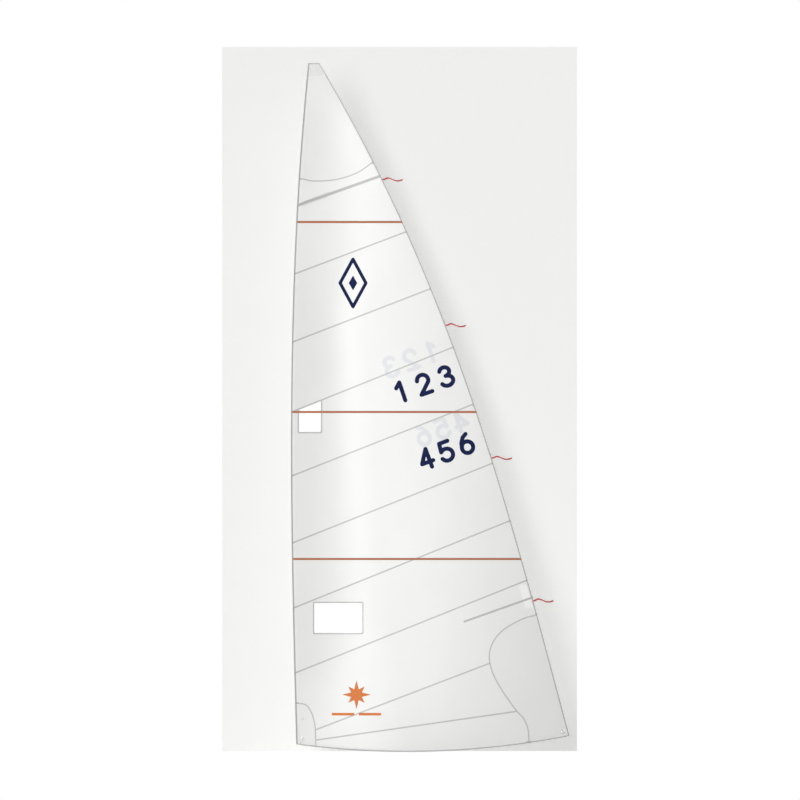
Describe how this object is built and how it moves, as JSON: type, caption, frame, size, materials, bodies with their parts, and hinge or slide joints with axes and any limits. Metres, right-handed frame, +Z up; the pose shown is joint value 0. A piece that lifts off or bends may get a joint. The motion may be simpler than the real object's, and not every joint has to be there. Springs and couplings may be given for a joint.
{
  "type": "mainsail",
  "caption": "Triangular battened mainsail for a small keelboat, set and full of wind, with corner patches, windows, draft stripes, headboard and leech ribbons.",
  "frame": {"origin": "the tack: the lowest point of the luff's cloth edge, where the luff meets the foot", "axes": "+X aft along the foot towards the clew, +Y to starboard, the side the sail bellies to, +Z up the luff towards the head"},
  "size_m": [3.7168, 0.3739, 9.1884],
  "materials": {
    "sailcloth": "firm woven polyester, satin",
    "patch_cloth": "heavier woven polyester, satin",
    "tape_cloth": "folded woven tape, satin",
    "clear_film": "clear vinyl, gloss",
    "stripe_film": "adhesive film, satin",
    "ribbon": "ripstop ribbon, satin",
    "aluminium": "anodised, satin",
    "stainless": "pressed and polished",
    "fibreglass": "pultruded glass fibre, satin",
    "nylon": "moulded",
    "rope": "laid polyester"
  },
  "bodies": {
    "sail": {"panel_01": "sailcloth", "panel_02": "sailcloth", "panel_03": "sailcloth", "panel_04": "sailcloth", "panel_05": "sailcloth", "panel_06": "sailcloth", "panel_07": "sailcloth", "panel_08": "sailcloth", "panel_09": "sailcloth", "panel_10": "sailcloth", "head_patch_port": "patch_cloth", "head_patch_starboard": "patch_cloth", "tack_patch_port": "patch_cloth", "tack_patch_starboard": "patch_cloth", "clew_patch_port": "patch_cloth", "clew_patch_starboard": "patch_cloth", "upper_window": "clear_film", "lower_window": "clear_film", "draft_stripe_1_port": "stripe_film", "draft_stripe_1_starboard": "stripe_film", "draft_stripe_2_port": "stripe_film", "draft_stripe_2_starboard": "stripe_film", "draft_stripe_3_port": "stripe_film", "draft_stripe_3_starboard": "stripe_film", "luff_tape": "tape_cloth", "bolt_rope": "rope", "leech_tape": "tape_cloth", "leech_tape_lower": "tape_cloth", "leech_line": "rope", "foot_tape": "tape_cloth", "clew_ring": "stainless", "clew_ring_washer": "stainless", "tack_ring": "stainless", "tack_ring_washer": "stainless", "cunningham_ring": "stainless", "cunningham_ring_washer": "stainless", "head_plate_port": "aluminium", "head_plate_starboard": "aluminium", "headboard_rivet_1": "aluminium", "headboard_rivet_2": "aluminium", "headboard_rivet_3": "aluminium", "headboard_rivet_4": "aluminium", "batten_1_pocket": "patch_cloth", "batten_2_pocket": "patch_cloth", "batten_3_pocket": "patch_cloth", "batten_4_pocket": "patch_cloth", "leech_cleat": "nylon"},
    "batten_1_assembly": {"batten_1": "fibreglass", "batten_1_cap": "nylon"},
    "batten_2_assembly": {"batten_2": "fibreglass", "batten_2_cap": "nylon"},
    "batten_3_assembly": {"batten_3": "fibreglass", "batten_3_cap": "nylon"},
    "batten_4_assembly": {"batten_4": "fibreglass", "batten_4_cap": "nylon"},
    "telltale_1_ribbon": {"telltale_1": "ribbon"},
    "telltale_2_ribbon": {"telltale_2": "ribbon"},
    "telltale_3_ribbon": {"telltale_3": "ribbon"},
    "telltale_4_ribbon": {"telltale_4": "ribbon"}
  },
  "joints": [
    {"name": "batten_1_draws_out", "type": "hinge", "parent": "sail", "child": "batten_1_assembly", "pos_m": [1.40969, -2.94711, 7.30133], "axis": [0.3152, 0.1115, -0.9425], "range_deg": [0, 20.2]},
    {"name": "batten_2_draws_out", "type": "slide", "parent": "sail", "child": "batten_2_assembly", "axis": [0.9327, -0.0249, 0.3599], "range_m": [0, 0.86]},
    {"name": "batten_3_draws_out", "type": "slide", "parent": "sail", "child": "batten_3_assembly", "axis": [0.9242, -0.0956, 0.3697], "range_m": [0, 0.873]},
    {"name": "batten_4_draws_out", "type": "slide", "parent": "sail", "child": "batten_4_assembly", "axis": [0.9317, -0.1518, 0.3299], "range_m": [0, 0.924]},
    {"name": "telltale_1_swings", "type": "hinge", "parent": "sail", "child": "telltale_1_ribbon", "pos_m": [1.14323, 0.29561, 7.537], "axis": [-0.4292, -0.0533, 0.9016], "range_deg": [-110, 110]},
    {"name": "telltale_2_swings", "type": "hinge", "parent": "sail", "child": "telltale_2_ribbon", "pos_m": [1.98493, 0.31627, 5.59202], "axis": [-0.3537, 0.0388, 0.9346], "range_deg": [-110, 110]},
    {"name": "telltale_3_swings", "type": "hinge", "parent": "sail", "child": "telltale_3_ribbon", "pos_m": [2.59814, 0.20876, 3.82194], "axis": [-0.2963, 0.0711, 0.9524], "range_deg": [-110, 110]},
    {"name": "telltale_4_swings", "type": "hinge", "parent": "sail", "child": "telltale_4_ribbon", "pos_m": [3.15321, 0.07224, 1.91999], "axis": [-0.2637, 0.0595, 0.9628], "range_deg": [-110, 110]}
  ]
}
